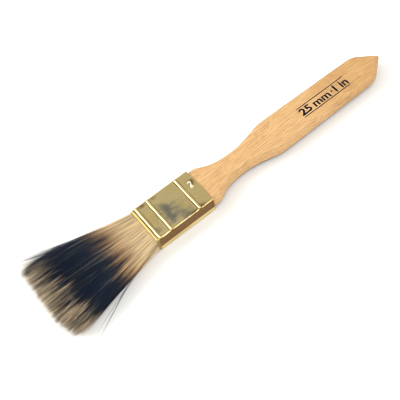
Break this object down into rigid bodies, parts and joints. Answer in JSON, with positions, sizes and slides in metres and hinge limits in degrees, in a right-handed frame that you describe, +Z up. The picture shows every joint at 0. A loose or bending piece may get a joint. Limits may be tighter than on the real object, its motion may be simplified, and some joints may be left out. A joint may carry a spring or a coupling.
{
  "type": "flat badger hair softening brush",
  "caption": "Flat softening brush: a fan of badger hair in a beaded brass-plated ferrule on a flat waisted beech handle with a pointed end.",
  "frame": {"origin": "middle of the brush's overall length and width, on the surface that it lies on", "axes": "X along the brush, with the hair's tips at -X and the handle's point at +X; Y across its width; +Z up, out of the broad face that carries the size digit"},
  "size_m": [0.2462, 0.052, 0.012],
  "materials": {
    "beech": "satin",
    "brass_plate": "satin",
    "nail_brass": "satin",
    "resin": "gloss",
    "strip_wood": "matte",
    "hair": "matte"
  },
  "bodies": {
    "brush_body": {"handle": "beech", "ferrule": "brass_plate", "ferrule_nails": "nail_brass", "setting_resin": "resin", "spacer_strip": "strip_wood", "upper_hair_roots": "hair", "lower_hair_roots": "hair"},
    "hair_head": {"upper_hair_free": "hair", "lower_hair_free": "hair"}
  },
  "joints": [
    {"name": "hair_flex", "type": "hinge", "parent": "brush_body", "child": "hair_head", "pos_m": [-0.05917, 0, 0.006], "axis": [0, 1, 0], "range_deg": [-35, 35], "stiffness_Nm_per_rad": 0.1}
  ]
}
